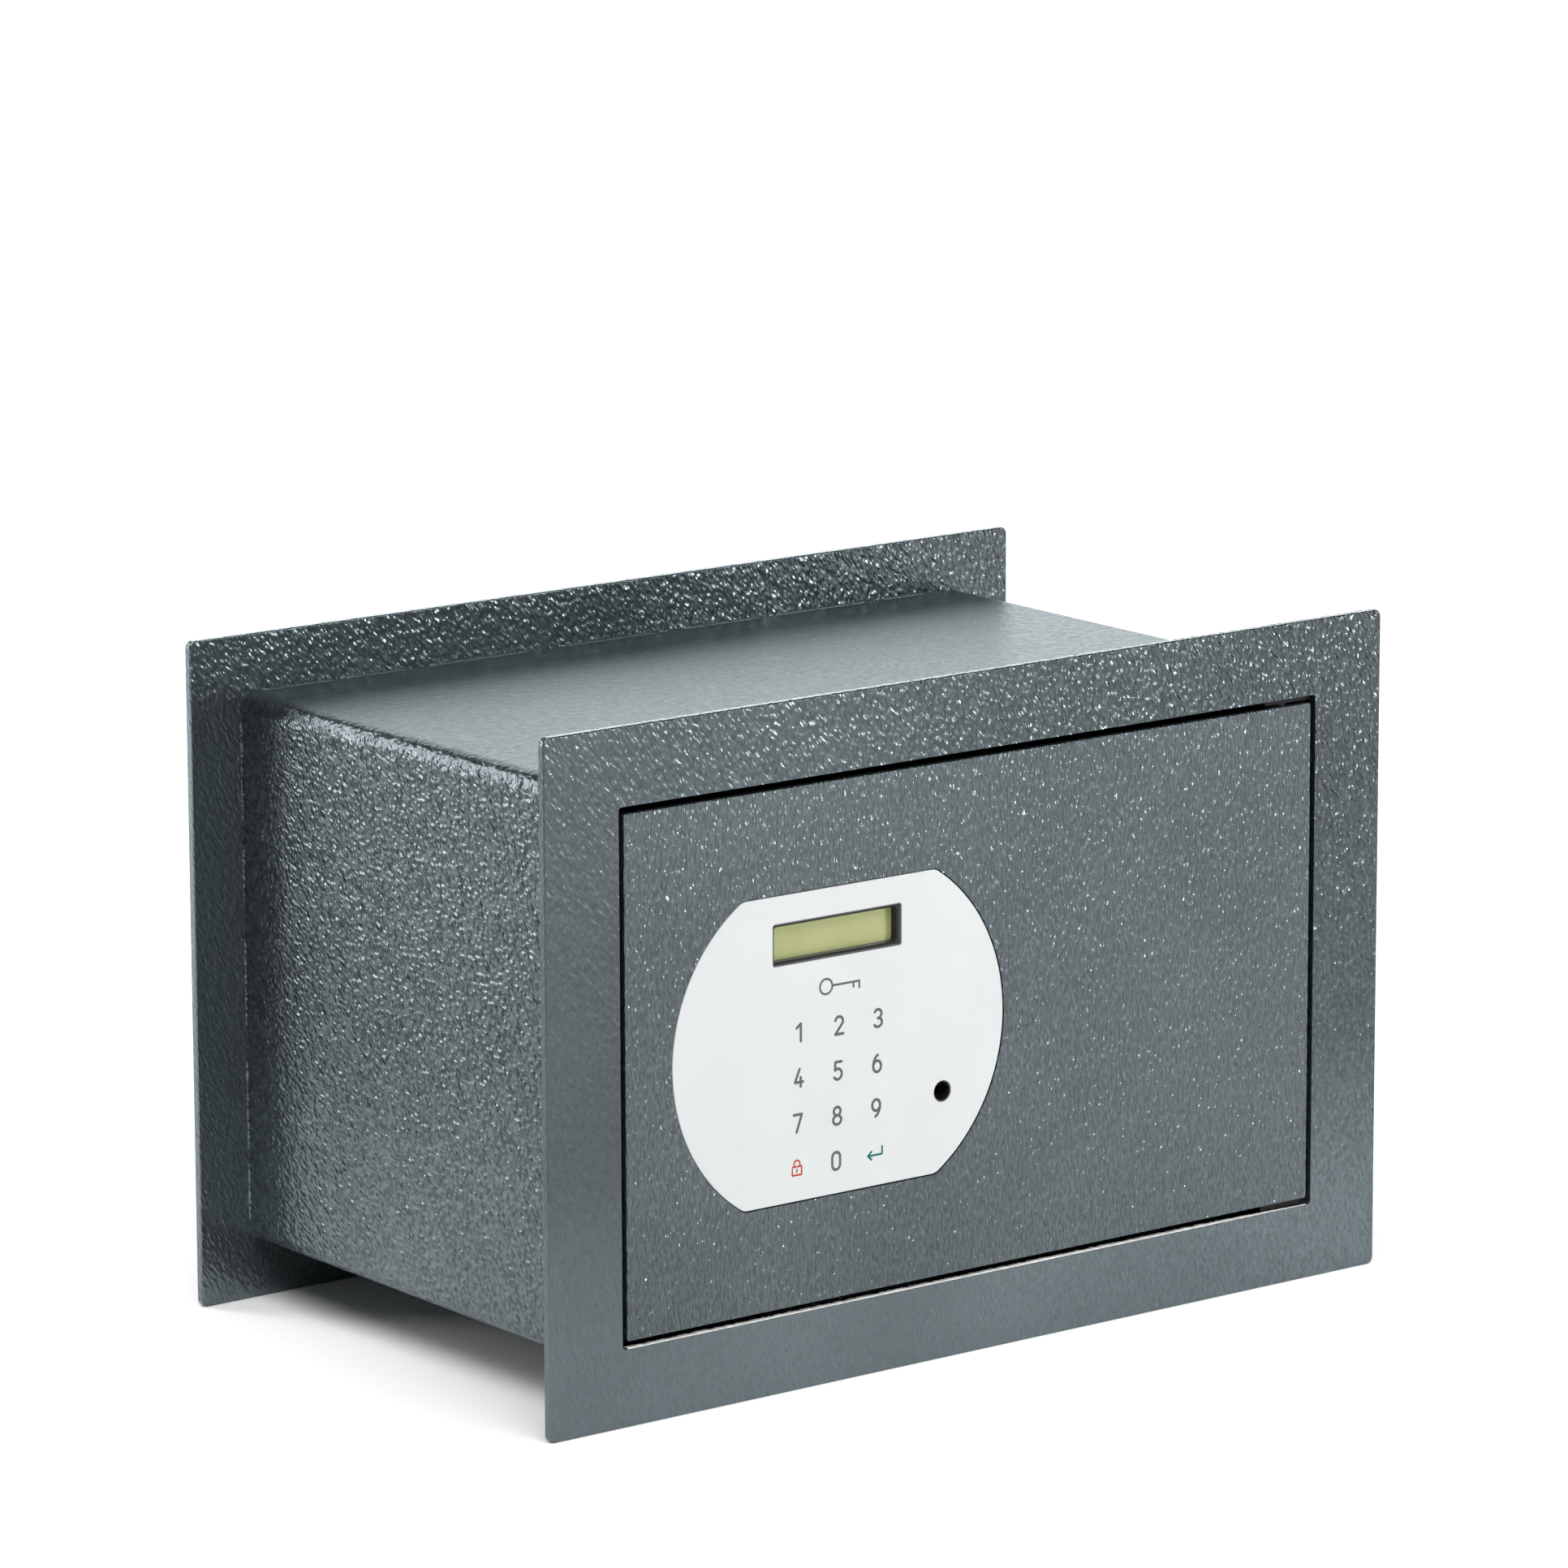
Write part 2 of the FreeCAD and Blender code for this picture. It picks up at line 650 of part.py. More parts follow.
def keypad_board():
    board = pad_outline(-93.5, -91.9, -5.0)
    board = board.common(block(-130, -23, -94, -91, 0, 230))
    for x, z in BOARD_SCREWS:
        board = board.cut(rod(x, -94, z, ALONG_Y, 1.4, 4))
    return board


def board_screws():
    screws = []
    for x, z in BOARD_SCREWS:
        shank = rod(x, -98.5, z, ALONG_Y, 1.2, 7.0)
        head = rod(x, -91.9, z, ALONG_Y, 2.4, 1.6)
        screws.append(joined([shank, head]))
    return group(screws)


def board_components():
    """Controller, driver, memory, plug header, capacitor and buzzer."""
    chips = [
        block(-68, -56, -91.9, -90.1, 98, 110),
        block(-86, -80, -91.9, -90.2, 100, 108),
        block(-48, -40, -91.9, -90.4, 118, 123),
        block(HEADER_RIGHT - 9, HEADER_RIGHT, -91.9, -87.6, 108, 123),
        rod(-95, -91.9, 116, ALONG_Y, 3.1, 4.6),
    ]
    disc = rod(-84, -91.9, 138, ALONG_Y, 6.0, 4.2)
    chips.append(disc.cut(rod(-84, -88.5, 138, ALONG_Y, 1.0, 2)))
    return group(chips)


def key_switches():
    switches = []
    for name, x, z in key_places():
        case = block(x - 3, x + 3, -96.5, -93.5, z - 3, z + 3)
        button = rod(x, -97.3, z, ALONG_Y, 1.7, 0.8)
        switches.append(joined([case, button]))
    return group(switches)


def key_plunger(x, z):
    head = rod(x, -101.15, z, ALONG_Y, KEY_R, 2.2)
    rim = rod(x, -98.95, z, ALONG_Y, 6.3, 0.6)
    stem = rod(x, -98.6, z, ALONG_Y, 2.0, 0.7)
    return joined([head, rim, stem])


def power_socket():
    collar = rod(SOCKET_X, -102.0, SOCKET_Z, ALONG_Y, SOCKET_R, 3.6)
    case = block(SOCKET_X - 5, SOCKET_X + 5, HOUSING_WALL_BACK, -89.5, SOCKET_Z - 5, SOCKET_Z + 5)
    socket = joined([collar, case])
    socket = socket.cut(rod(SOCKET_X, -103, SOCKET_Z, ALONG_Y, SOCKET_BORE_R, 5.5))
    socket = socket.cut(rod(SOCKET_X, -98, SOCKET_Z, ALONG_Y, 2.8, 7.0))
    pin = rod(SOCKET_X, -97.0, SOCKET_Z, ALONG_Y, 1.0, 7.0)
    tip = [edge for edge in pin.Edges if edge.BoundBox.YMax < -96.99]
    return joined([socket, pin.makeFillet(0.6, tip)])


# ---- battery parts -----------------------------------------------------
def cell_heights():
    room = TRAY_HIGH - TRAY_LOW - 2 * TRAY_WALL
    for number in range(4):
        yield TRAY_LOW + TRAY_WALL + room * (number + 0.5) / 4


def battery_box():
    tray = block(TRAY_LEFT, TRAY_RIGHT, -96, PAN_BACK, TRAY_LOW, TRAY_HIGH)
    tray = tray.cut(block(TRAY_LEFT + TRAY_WALL, TRAY_RIGHT - TRAY_WALL, -94.5, PAN_BACK,
                          TRAY_LOW + TRAY_WALL, TRAY_HIGH - TRAY_WALL))
    rim = 3.5
    flange = block(TRAY_LEFT - rim, TRAY_RIGHT + rim, -75.5, PAN_BACK,
                   TRAY_LOW - rim, TRAY_HIGH + rim)
    flange = flange.cut(block(TRAY_LEFT, TRAY_RIGHT, -76, PAN_BACK + 1, TRAY_LOW, TRAY_HIGH))
    ribs = []
    heights = list(cell_heights())
    for low, high in zip(heights, heights[1:]):
        middle = (low + high) / 2
        for x in (70.0, 102.0):
            ribs.append(block(x, x + 1.5, -94.5, -91.5, middle - 2, middle + 2))
    return joined([tray, flange] + ribs)


def battery_cell(number, z):
    """Alternate cells point the other way."""
    body = rod(CELL_LEFT, CELL_Y, z, ALONG_X, CELL_R, CELL_LONG)
    ends = [edge for edge in body.Edges if len(edge.Vertexes) == 1]
    body = body.makeFillet(0.6, ends)
    if number % 2 == 0:
        nub = rod(CELL_LEFT + CELL_LONG - 0.5, CELL_Y, z, ALONG_X, 2.7, 1.5)
    else:
        nub = rod(CELL_LEFT - 1.0, CELL_Y, z, ALONG_X, 2.7, 1.5)
    return joined([body, nub])


def battery_springs():
    """One coil spring at the flat end of each cell, narrowing towards the cell."""
    turns = 3
    steps = 8 * turns
    springs = []
    for number, z in enumerate(cell_heights()):
        if number % 2 == 0:
            wide_x, narrow_x = TRAY_LEFT + TRAY_WALL + 1.0, CELL_LEFT - 0.6
        else:
            wide_x, narrow_x = TRAY_RIGHT - TRAY_WALL - 1.0, CELL_LEFT + CELL_LONG + 0.6
        route = []
        for step in range(steps + 1):
            part = step / steps
            angle = 2 * math.pi * turns * part
            radius = 4.8 - 1.6 * part
            route.append((
                wide_x + (narrow_x - wide_x) * part,
                CELL_Y + radius * math.cos(angle),
                z + radius * math.sin(angle),
            ))
        springs.append(wire_lead(route, 0.4))
    return group(springs)


def battery_contacts():
    contacts = []
    for number, z in enumerate(cell_heights()):
        for side in ("left", "right"):
            at_left = side == "left"
            x0 = TRAY_LEFT + TRAY_WALL if at_left else TRAY_RIGHT - TRAY_WALL - 0.5
            contacts.append(block(x0, x0 + 0.5, -93, -81, z - 5.5, z + 5.5))
            positive = (number % 2 == 1) if at_left else (number % 2 == 0)
            if positive:
                gap_end = CELL_LEFT - 1.0 if at_left else CELL_LEFT + CELL_LONG + 1.0
                low_x, high_x = sorted((gap_end, x0 + 0.25))
                contacts[-1] = joined([contacts[-1], block(low_x, high_x, -89, -85, z - 2, z + 2)])
    return group(contacts)


def battery_cover():
    plate = slab(TRAY_LEFT - 1, TRAY_RIGHT + 1, COVER_BACK + 0.1, COVER_BACK + 1.9,
                 TRAY_LOW - 1, TRAY_HIGH + 1, 3.0)
    lip = block(TRAY_LEFT + 2.4, TRAY_RIGHT - 2.4, -76.5, COVER_BACK + 0.5,
                TRAY_LOW + 2.4, TRAY_HIGH - 2.4)
    lip = lip.cut(block(TRAY_LEFT + 4, TRAY_RIGHT - 4, -77, COVER_BACK + 0.1,
                        TRAY_LOW + 4, TRAY_HIGH - 4))
    cover = joined([plate, lip])
    grip_x = (TRAY_LEFT + TRAY_RIGHT) / 2
    for step in range(5):
        z = TRAY_HIGH - 6 - 2.4 * step
        cover = cover.cut(block(grip_x - 9, grip_x + 9, COVER_BACK + 1.3, COVER_BACK + 3, z, z + 1.1))
    return cover


def battery_leads():
    leads = []
    for step in (0.0, 2.4):
        leads.append(wire_lead([
            (TRAY_LEFT, -90.0, 96.0 + step),
            (42.0, -91.0, 95.0 + step),
            (30.0, -93.0, 97.0 + step),
            (17.0, -91.5, 105.0 + step),
            (2.0, -90.0, 110.6 + step),
            (HEADER_RIGHT, -89.8, 111.0 + step),
        ], 0.8))
    return group(leads)


def motor_leads():
    left = wire_lead([
        (PINION_X - 3.7, MOTOR_Y, 108.5),
        (PINION_X - 4.2, MOTOR_Y + 0.6, 105.2),
        (22.0, -91.6, 105.6),
        (13.0, -90.8, 113.6),
        (0.0, -90.4, 116.4),
        (HEADER_RIGHT, -90.0, 117.0),
    ], 0.7)
    right = wire_lead([
        (PINION_X + 3.7, MOTOR_Y, 108.5),
        (PINION_X + 2.6, MOTOR_Y + 1.6, 104.6),
        (24.0, -89.2, 104.4),
        (14.0, -88.4, 115.0),
        (0.0, -89.0, 119.4),
        (HEADER_RIGHT, -89.6, 120.0),
    ], 0.7)
    return group([left, right])


def build_parts():
    parts = {
        "body_shell": body_shell(),
        "front_frame": front_frame(),
        "rear_plate": rear_plate(),
        "floor_mat": floor_mat(),
        "hinge_bracket_upper": hinge_bracket(LEAF_HIGH_Z, 186, LEAF_HIGH_Z + 2),
        "hinge_bracket_lower": hinge_bracket(LEAF_LOW_Z, LEAF_LOW_Z + 1, 44),
        "hinge_pins": hinge_pins(),
        "door_plate": door_plate(),
        "door_pan": door_pan(),
        "inner_cover": inner_cover(),
        "cover_screws": cover_screws(),
        "hinge_blocks": hinge_blocks(),
        "hinge_bushes": hinge_bushes(),
        "bolt_lower": locking_bolt(BOLT_HEIGHTS[0]),
        "bolt_upper": locking_bolt(BOLT_HEIGHTS[1]),
        "bolt_screws": bolt_screws(),
        "bolt_guides": bolt_guides(),
        "bolt_carriage": bolt_carriage(),
        "guide_posts": guide_posts(),
        "post_clips": post_clips(),
        "carriage_rack": carriage_rack(),
        "rack_rivets": rack_rivets(),
        "drive_pinion": drive_pinion(),
        "output_shaft": output_shaft(),
        "motor_bracket": motor_bracket(),
        "gearbox_housing": gearbox_housing(),
        "motor_screws": motor_screws(),
        "motor_can": motor_can(),
        "motor_end_cap": motor_end_cap(),
        "motor_leads": motor_leads(),
        "keypad_plate": keypad_plate(),
        "keypad_housing": keypad_housing(),
        "housing_back": housing_back(),
        "keypad_studs": keypad_studs(),
        "stud_nuts": stud_nuts(),
        "lcd_bezel": lcd_bezel(),
        "lcd_module": lcd_module(),
        "keypad_board": keypad_board(),
        "board_screws": board_screws(),
        "board_components": board_components(),
        "key_switches": key_switches(),
        "power_socket": power_socket(),
        "battery_box": battery_box(),
        "battery_springs": battery_springs(),
        "battery_contacts": battery_contacts(),
        "battery_cover": battery_cover(),
        "battery_leads": battery_leads(),
    }
    for name, x, z in key_places():
        parts[name] = key_plunger(x, z)
    cells = []
    for number, z in enumerate(cell_heights()):
        cells.append(battery_cell(number, z))
    parts["battery_cells"] = group(cells)
    return parts


os.makedirs("parts", exist_ok=True)
for node, shape in build_parts().items():
    shape.exportStep("parts/" + node + ".step")
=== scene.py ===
import math
import random

import bmesh
import bpy
from mathutils import Matrix, Vector


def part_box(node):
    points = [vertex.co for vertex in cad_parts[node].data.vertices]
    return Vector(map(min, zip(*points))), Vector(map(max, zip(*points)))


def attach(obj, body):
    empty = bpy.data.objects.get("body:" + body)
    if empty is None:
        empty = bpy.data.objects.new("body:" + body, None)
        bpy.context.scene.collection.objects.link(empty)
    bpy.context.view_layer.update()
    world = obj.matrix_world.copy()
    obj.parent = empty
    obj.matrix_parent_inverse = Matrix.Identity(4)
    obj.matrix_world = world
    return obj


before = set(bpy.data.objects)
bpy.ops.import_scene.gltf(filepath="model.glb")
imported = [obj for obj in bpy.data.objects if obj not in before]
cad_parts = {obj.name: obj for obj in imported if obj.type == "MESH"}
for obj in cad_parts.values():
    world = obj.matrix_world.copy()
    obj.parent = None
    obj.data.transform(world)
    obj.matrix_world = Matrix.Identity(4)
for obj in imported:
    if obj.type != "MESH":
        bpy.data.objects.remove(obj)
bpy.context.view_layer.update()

MM = 0.001
scene = bpy.context.scene

# ---- view ----------------------------------------------------------------
CAMERA_AZIMUTH = -37.34
CAMERA_ELEVATION = 12.05
CAMERA_ROLL = -0.20
CAMERA_DISTANCE = 2.6435
CAMERA_AIM = Vector((-0.0020, 0.0, 0.1755))
FOCAL_MM = 179.7
SENSOR_MM = 36.0


def make_camera():
    """Long lens; the aim is above the safe, which so sits low in the frame."""
    azimuth = math.radians(CAMERA_AZIMUTH)
    elevation = math.radians(CAMERA_ELEVATION)
    look = Vector((
        -math.sin(azimuth) * math.cos(elevation),
        math.cos(azimuth) * math.cos(elevation),
        -math.sin(elevation),
    ))
    data = bpy.data.cameras.new("camera")
    data.lens = FOCAL_MM
    data.sensor_width = SENSOR_MM
    data.clip_start = 0.05
    data.clip_end = 60.0
    camera = bpy.data.objects.new("camera", data)
    scene.collection.objects.link(camera)
    turn = look.to_track_quat("-Z", "Y")
    roll = Matrix.Rotation(math.radians(CAMERA_ROLL), 4, "Z")
    place = Matrix.Translation(CAMERA_AIM - look * CAMERA_DISTANCE)
    camera.matrix_world = place @ turn.to_matrix().to_4x4() @ roll
    scene.camera = camera


def make_light(name, place, aim, size, power):
    data = bpy.data.lights.new(name, "AREA")
    data.shape = "RECTANGLE"
    data.size, data.size_y = size
    data.energy = power
    lamp = bpy.data.objects.new(name, data)
    lamp.visible_camera = False
    scene.collection.objects.link(lamp)
    place = Vector(place)
    direction = Vector(aim) - place
    lamp.matrix_world = Matrix.Translation(place) @ direction.to_track_quat("-Z", "Y").to_matrix().to_4x4()
    return lamp


# name, place, aim, size and watts; two small lamps make the glints, two large ones the soft light
LAMPS = (
    ("glint_right", (1.05, -1.34, 0.33), (0.10, -0.10, 0.12), (0.33, 0.27), 8.5),
    ("glint_left", (-0.90, 0.95, 0.30), (-0.15, 0.0, 0.12), (0.26, 0.20), 2.8),
    ("softbox_left", (-0.95, 1.60, 0.95), (0.0, 0.0, 0.15), (0.60, 1.10), 16.0),
    ("front_fill", (0.15, -0.80, 0.75), (0.08, -0.30, 0.0), (0.60, 0.35), 0.7),
)

BACKDROP = Vector((0.60, 0.79, 0.12)).normalized()
BACKDROP_GLOW = 2.35
HORIZON_GLOW = 0.16
UPPER_GLOW = 0.08
OVERHEAD = Vector((-0.15, -0.36, 0.92)).normalized()
OVERHEAD_GLOW = 4.0
OVERHEAD_REACH = (0.82, 0.90)
BACKDROP_REACH = (0.80, 0.90)
HORIZON_REACH = (0.50, 0.25)
SEEN_GLOW = 1.0


def make_world():
    """A white sheet behind, a large lamp overhead and dim elsewhere, as the lit surfaces meet it.

    The camera itself sees plain white in every direction. Reaches are cosines of the angle to the aim."""
    world = bpy.data.worlds.new("studio")
    world.use_nodes = True
    tree = world.node_tree
    background = tree.nodes["Background"]

    def node(kind, **values):
        made = tree.nodes.new(kind)
        for key, value in values.items():
            setattr(made, key, value)
        return made

    def step(value, low, high, amount):
        made = node("ShaderNodeMapRange", interpolation_type="SMOOTHSTEP")
        made.inputs["From Min"].default_value = low
        made.inputs["From Max"].default_value = high
        made.inputs["To Max"].default_value = amount
        tree.links.new(value, made.inputs["Value"])
        return made.outputs["Result"]

    def add(first, second):
        made = node("ShaderNodeMath", operation="ADD")
        tree.links.new(first, made.inputs[0])
        if isinstance(second, float):
            made.inputs[1].default_value = second
        else:
            tree.links.new(second, made.inputs[1])
        return made.outputs[0]

    def facing(aim):
        made = node("ShaderNodeVectorMath", operation="DOT_PRODUCT")
        made.inputs[1].default_value = aim
        tree.links.new(direction, made.inputs[0])
        return made.outputs["Value"]

    direction = node("ShaderNodeTexCoord").outputs["Generated"]
    glow = add(step(facing(OVERHEAD), *OVERHEAD_REACH, OVERHEAD_GLOW), UPPER_GLOW)
    glow = add(glow, step(facing(Vector((0, 0, 1))), *HORIZON_REACH, HORIZON_GLOW))
    glow = add(glow, step(facing(BACKDROP), *BACKDROP_REACH, BACKDROP_GLOW))
    seen = node("ShaderNodeMix", data_type="FLOAT")
    tree.links.new(node("ShaderNodeLightPath").outputs["Is Camera Ray"], seen.inputs["Factor"])
    tree.links.new(glow, seen.inputs["A"])
    seen.inputs["B"].default_value = SEEN_GLOW
    tree.links.new(seen.outputs["Result"], background.inputs["Strength"])
    background.inputs["Color"].default_value = (1.0, 1.0, 1.0, 1.0)
    scene.world = world


# ---- node materials ------------------------------------------------------
GRAINS_PER_METRE = 520.0
PLATE_DRIFT = (Vector((0.50, 0.0, -0.87)), 2.2)
DOOR_DRIFT = (Vector((0.16, 0.0, -0.99)), 3.0)
BODY_DRIFT = (Vector((0.10, -0.88, -0.46)), 1.5)
PAINTED_LIGHT_FROM = Vector((-0.80, 0.45, 0.45))


class Maker:
    """A Principled material with short calls for its texture nodes."""

    def __init__(self, name):
        self.material = bpy.data.materials.new(name)
        self.material.use_nodes = True
        self.tree = self.material.node_tree
        self.shader = self.tree.nodes["Principled BSDF"]
        self.coords = self.node("ShaderNodeTexCoord").outputs["Object"]

    def node(self, kind, **values):
        made = self.tree.nodes.new(kind)
        for key, value in values.items():
            setattr(made, key, value)
        return made

    def link(self, source, target):
        self.tree.links.new(source, target)

    def set(self, **values):
        for key, value in values.items():
            name = key.replace("_", " ").title().replace("Ior", "IOR")
            if name == "Base Color" and len(value) == 3:
                value = (*value, 1.0)
            self.shader.inputs[name].default_value = value
        return self

    def stretched(self, scale):
        mapping = self.node("ShaderNodeMapping")
        mapping.inputs["Scale"].default_value = scale
        self.link(self.coords, mapping.inputs["Vector"])
        return mapping.outputs["Vector"]

    def noise(self, scale, detail=2.0, rough=0.5, vector=None):
        made = self.node("ShaderNodeTexNoise")
        made.inputs["Scale"].default_value = scale
        made.inputs["Detail"].default_value = detail
        made.inputs["Roughness"].default_value = rough
        self.link(vector or self.coords, made.inputs["Vector"])
        return made.outputs["Fac"]

    def along(self, direction, stretch, offset=(0.0, 0.0, 0.0)):
        """Coordinates in which features come out drawn along a direction."""
        mapping = self.node("ShaderNodeMapping", vector_type="TEXTURE")
        mapping.inputs["Location"].default_value = offset
        mapping.inputs["Rotation"].default_value = direction.to_track_quat("Z", "Y").to_euler()
        mapping.inputs["Scale"].default_value = (1.0, 1.0, stretch)
        self.link(self.coords, mapping.inputs["Vector"])
        return mapping.outputs["Vector"]

    def toward(self, direction):
        """How far a point lies along a direction."""
        made = self.node("ShaderNodeVectorMath", operation="DOT_PRODUCT")
        made.inputs[1].default_value = direction
        self.link(self.coords, made.inputs[0])
        return made.outputs["Value"]

    def cells(self, scale, feature="F1", vector=None):
        made = self.node("ShaderNodeTexVoronoi", feature=feature)
        made.inputs["Scale"].default_value = scale
        self.link(vector or self.coords, made.inputs["Vector"])
        return made.outputs["Distance"]

    def math(self, operation, first, second):
        made = self.node("ShaderNodeMath", operation=operation)
        for socket, value in zip(made.inputs, (first, second)):
            if isinstance(value, (int, float)):
                socket.default_value = value
            else:
                self.link(value, socket)
        return made.outputs["Value"]

    def spread(self, value, low, high, to_low=0.0, to_high=1.0):
        made = self.node("ShaderNodeMapRange")
        made.inputs["From Min"].default_value = low
        made.inputs["From Max"].default_value = high
        made.inputs["To Min"].default_value = to_low
        made.inputs["To Max"].default_value = to_high
        self.link(value, made.inputs["Value"])
        return made.outputs["Result"]

    def mix(self, share, first, second):
        made = self.node("ShaderNodeMix", data_type="RGBA")
        self.link(share, made.inputs["Factor"])
        for socket, value in ((made.inputs[6], first), (made.inputs[7], second)):
            if isinstance(value, tuple):
                socket.default_value = (*value, 1.0)
            else:
                self.link(value, socket)
        return made.outputs[2]

    def scaled(self, colour, factor):
        made = self.node("ShaderNodeVectorMath", operation="SCALE")
        self.link(colour, made.inputs["Vector"])
        self.link(factor, made.inputs["Scale"])
        return made.outputs["Vector"]

    def colour(self, socket):
        self.link(socket, self.shader.inputs["Base Color"])
        return self

    def roughness(self, socket):
        self.link(socket, self.shader.inputs["Roughness"])
        return self

    def bump(self, height, distance):
        made = self.node("ShaderNodeBump")
        made.inputs["Distance"].default_value = distance
        self.link(height, made.inputs["Height"])
        if self.shader.inputs["Normal"].is_linked:
            earlier = self.shader.inputs["Normal"].links[0].from_socket
            self.link(earlier, made.inputs["Normal"])
        self.link(made.outputs["Normal"], self.shader.inputs["Normal"])
        return self


def powder_coat(name, drift, shade=1.0, relief=1.0, grain=1.0, painted_shade_depth=0.22, sheen=0.20, fades=(),
                matte=None):
    """Structured slate-grey coat: sprayed grains one to three millimetres apart, glossy and part metallic.

    drift is the direction and amount the grains are drawn out in; painted_shade_depth is how much lighter
    the upper flanks and darker the lower flanks of the grains are painted, a painted shading lit from
    PAINTED_LIGHT_FROM. Each fade is a direction, two places along it, the relief and the painted shade and
    light at both places; matte is a direction, two places along it and the roughness gained between them."""
    m = Maker(name)
    fine, coarse = GRAINS_PER_METRE * grain * 1.7, GRAINS_PER_METRE * grain * 0.75
    sprayed = m.along(*drift)
    beads = m.noise(fine, 0.0, vector=sprayed)
    swell = m.noise(coarse, 0.0, vector=sprayed)
    # The grains again, shifted towards PAINTED_LIGHT_FROM, for the painted shading of their flanks.
    above = m.noise(fine, 0.0, vector=m.along(*drift, offset=PAINTED_LIGHT_FROM * (0.35 / fine)))
    height = m.math("ADD", beads, m.math("MULTIPLY", swell, 0.8))
    painted_flank_shade = m.math("SUBTRACT", above, beads)
    low = tuple(shade * part for part in (0.100, 0.120, 0.129))
    high = tuple(shade * part for part in (0.118, 0.141, 0.151))
    tone = m.mix(m.spread(m.noise(9.0, 2.0), 0.35, 0.65), low, high)
    for direction, start, stop, reliefs, painted_shades in fades:
        place = m.toward(direction)
        share = m.spread(place, start, stop, *reliefs)
        height = m.math("MULTIPLY", height, share)
        painted_flank_shade = m.math("MULTIPLY", painted_flank_shade, share)
        # Painted shade and light: each fade's shade pair darkens or lightens the colour along its direction.
        tone = m.scaled(tone, m.spread(place, start, stop, *painted_shades))
    # Painted shading: flanks facing PAINTED_LIGHT_FROM lighter, the far flanks darker, by
    # painted_shade_depth.
    tone = m.scaled(tone, m.spread(painted_flank_shade, -0.14, 0.14, 1.0 - painted_shade_depth, 1.0 + painted_shade_depth))
    m.bump(height, 0.00042 * relief / grain)
    m.bump(m.noise(1700.0, 1.0), 0.00004 * relief)
    m.colour(tone)
    rough = m.spread(m.noise(420.0, 2.0), 0.3, 0.7, sheen - 0.05, sheen + 0.05)
    if matte:
        direction, start, stop, gain = matte
        rough = m.math("ADD", rough, m.spread(m.toward(direction), start, stop, 0.0, gain))
    m.roughness(rough)
    m.set(metallic=0.76, specular_tint=(0.90, 0.98, 1.0, 1.0))
    return m.material


def plated_steel(name, colour, rough=0.28, grain=(60.0, 900.0, 900.0)):
    m = Maker(name)
    brushed = m.noise(1.0, 3.0, 0.6, m.stretched(grain))
    cloud = m.noise(55.0, 3.0)
    low = tuple(part * 0.78 for part in colour)
    m.colour(m.mix(m.spread(cloud, 0.3, 0.7), low, colour))
    m.roughness(m.spread(brushed, 0.25, 0.75, rough - 0.08, rough + 0.14))
    m.bump(brushed, 0.00003)
    m.set(metallic=1.0)
    return m.material


def chrome_plate(name):
    m = Maker(name)
    rub = m.noise(1.0, 3.0, 0.7, m.stretched((40.0, 1500.0, 1500.0)))
    m.colour(m.mix(m.spread(m.noise(80.0), 0.35, 0.65), (0.40, 0.41, 0.42), (0.55, 0.56, 0.57)))
    m.roughness(m.spread(rub, 0.3, 0.75, 0.10, 0.26))
    m.bump(rub, 0.000008)
    m.set(metallic=1.0)
    return m.material


def moulded(name, colour, rough=0.5, relief=0.00003, grain=2600.0):
    m = Maker(name)
    pores = m.noise(grain, 2.0)
    flow = m.noise(26.0, 2.0)
    low = tuple(part * 0.86 for part in colour)
    high = tuple(min(1.0, part * 1.08) for part in colour)
    m.colour(m.mix(m.spread(flow, 0.3, 0.7), low, high))
    m.roughness(m.spread(pores, 0.3, 0.7, rough - 0.07, rough + 0.1))
    m.bump(pores, relief)
    return m.material


def overlay_foil(name):
    """Screen-printed satin foil, very slightly mottled."""
    m = Maker(name)
    cloud = m.noise(30.0, 3.0)
    tooth = m.noise(5200.0, 2.0)
    m.colour(m.mix(m.spread(cloud, 0.3, 0.7), (0.570, 0.592, 0.590), (0.594, 0.616, 0.614)))
    m.roughness(m.spread(tooth, 0.3, 0.7, 0.30, 0.42))
    m.bump(tooth, 0.000008)
    return m.material


def bezel_plastic(name):
    """Grey rim; the walls of the window are painted nearly black, a painted shade in the recess."""
    m = Maker(name)
    pores = m.noise(2600.0, 2.0)
    rim = m.mix(m.spread(m.noise(60.0), 0.3, 0.7), (0.070, 0.073, 0.080), (0.092, 0.095, 0.103))
    # Painted shade: behind the face of the rim the colour drops to a tenth.
    m.colour(m.scaled(rim, m.spread(m.toward(Vector((0.0, 1.0, 0.0))), -0.1022, -0.1018, 1.0, 0.10)))
    m.roughness(m.spread(pores, 0.3, 0.7, 0.28, 0.42))
    m.bump(pores, 0.00001)
    return m.material


def display_cell(name):
    """Reflective yellow-green panel with faint pixel rows."""
    m = Maker(name)
    rows = m.cells(1.0, feature="DISTANCE_TO_EDGE", vector=m.stretched((1500.0, 1.0, 1500.0)))
    cloud = m.noise(60.0, 2.0)
    base = m.mix(m.spread(cloud, 0.3, 0.7), (0.355, 0.383, 0.140), (0.400, 0.428, 0.167))
    m.colour(m.mix(m.spread(rows, 0.0, 0.2, 0.05, 0.0), base, (0.30, 0.33, 0.11)))
    m.roughness(m.spread(cloud, 0.3, 0.7, 0.18, 0.24))
    m.set(coat_weight=0.3)
    return m.material


def felt(name):
    m = Maker(name)
    fibres = m.noise(1.0, 4.0, 0.7, m.stretched((900.0, 500.0, 900.0)))
    tufts = m.noise(260.0, 3.0)
    m.colour(m.mix(m.spread(fibres, 0.3, 0.7), (0.022, 0.023, 0.026), (0.07, 0.072, 0.078)))
    m.roughness(m.spread(tufts, 0.3, 0.7, 0.85, 0.98))
    m.bump(m.math("ADD", fibres, tufts), 0.0006)
    m.set(sheen_weight=0.4)
    return m.material


